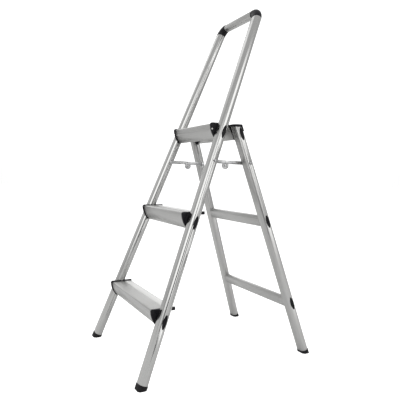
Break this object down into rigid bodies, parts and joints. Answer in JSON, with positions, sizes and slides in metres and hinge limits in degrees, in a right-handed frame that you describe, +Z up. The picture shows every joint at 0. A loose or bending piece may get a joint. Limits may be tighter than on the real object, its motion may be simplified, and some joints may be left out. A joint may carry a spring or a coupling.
{
  "type": "step stool",
  "caption": "Folding step stool: oval-tube front frame with a hand rail and channel steps, hinged rear frame, and spreaders that fold.",
  "frame": {"origin": "on the floor, midway between the front and rear feet and between the sides", "axes": "+Z up, +X to the right seen from the front, the front faces -Y and the rear frame stands at +Y"},
  "size_m": [0.5194, 0.6477, 1.1987],
  "materials": {
    "anodised_aluminium": "satin anodised",
    "black_plastic": "fine moulded texture",
    "foot_rubber": "matte",
    "zinc_steel": "zinc plated"
  },
  "bodies": {
    "front_frame": {"front_stile_left": "anodised_aluminium", "front_stile_right": "anodised_aluminium", "handle_bar": "anodised_aluminium", "handle_corner_left": "black_plastic", "handle_corner_right": "black_plastic", "lower_step": "anodised_aluminium", "middle_step": "anodised_aluminium", "top_step": "anodised_aluminium", "lower_step_cap_left": "black_plastic", "lower_step_cap_right": "black_plastic", "middle_step_cap_left": "black_plastic", "middle_step_cap_right": "black_plastic", "top_step_cap_left": "black_plastic", "top_step_cap_right": "black_plastic", "front_foot_left": "foot_rubber", "front_foot_right": "foot_rubber", "front_plugs": "black_plastic", "step_bolts": "zinc_steel", "front_spreader_rivets": "zinc_steel", "pivot_bolts": "zinc_steel", "pivot_nuts": "zinc_steel"},
    "rear_frame": {"rear_stile_left": "anodised_aluminium", "rear_stile_right": "anodised_aluminium", "upper_rear_brace": "anodised_aluminium", "lower_rear_brace": "anodised_aluminium", "brace_inserts": "black_plastic", "brace_bolts": "zinc_steel", "rear_foot_left": "foot_rubber", "rear_foot_right": "foot_rubber", "rear_top_cap_left": "black_plastic", "rear_top_cap_right": "black_plastic", "rear_plugs": "black_plastic", "pivot_spacer_left": "black_plastic", "pivot_spacer_right": "black_plastic", "rear_spreader_rivets": "zinc_steel", "fold_stops": "zinc_steel"},
    "front_spreader_left": {"front_link_left": "zinc_steel", "knee_rivet_left": "zinc_steel"},
    "rear_spreader_left": {"rear_link_left": "zinc_steel", "knee_collar_left": "zinc_steel"},
    "front_spreader_right": {"front_link_right": "zinc_steel", "knee_rivet_right": "zinc_steel"},
    "rear_spreader_right": {"rear_link_right": "zinc_steel", "knee_collar_right": "zinc_steel"}
  },
  "joints": [
    {"name": "rear_fold", "type": "hinge", "parent": "front_frame", "child": "rear_frame", "pos_m": [0, 0.05812, 0.76], "axis": [-1, 0, 0], "range_deg": [0, 39]},
    {"name": "front_spreader_fold_left", "type": "hinge", "parent": "front_frame", "child": "front_spreader_left", "pos_m": [0, -0.04661, 0.667], "axis": [1, 0, 0], "range_deg": [0, 69.2]},
    {"name": "rear_spreader_fold_left", "type": "hinge", "parent": "rear_frame", "child": "rear_spreader_left", "pos_m": [0, 0.09002, 0.663], "axis": [-1, 0, 0], "range_deg": [0, 32]},
    {"name": "front_spreader_fold_right", "type": "hinge", "parent": "front_frame", "child": "front_spreader_right", "pos_m": [0, -0.04661, 0.667], "axis": [1, 0, 0], "range_deg": [0, 69.2]},
    {"name": "rear_spreader_fold_right", "type": "hinge", "parent": "rear_frame", "child": "rear_spreader_right", "pos_m": [0, 0.09002, 0.663], "axis": [-1, 0, 0], "range_deg": [0, 32]}
  ],
  "couplings": [
    {"joint": "front_spreader_fold_left", "follows": "rear_fold", "ratio": 1.7697},
    {"joint": "rear_spreader_fold_left", "follows": "rear_fold", "ratio": 0.8161},
    {"joint": "front_spreader_fold_right", "follows": "rear_fold", "ratio": 1.7697},
    {"joint": "rear_spreader_fold_right", "follows": "rear_fold", "ratio": 0.8161}
  ]
}
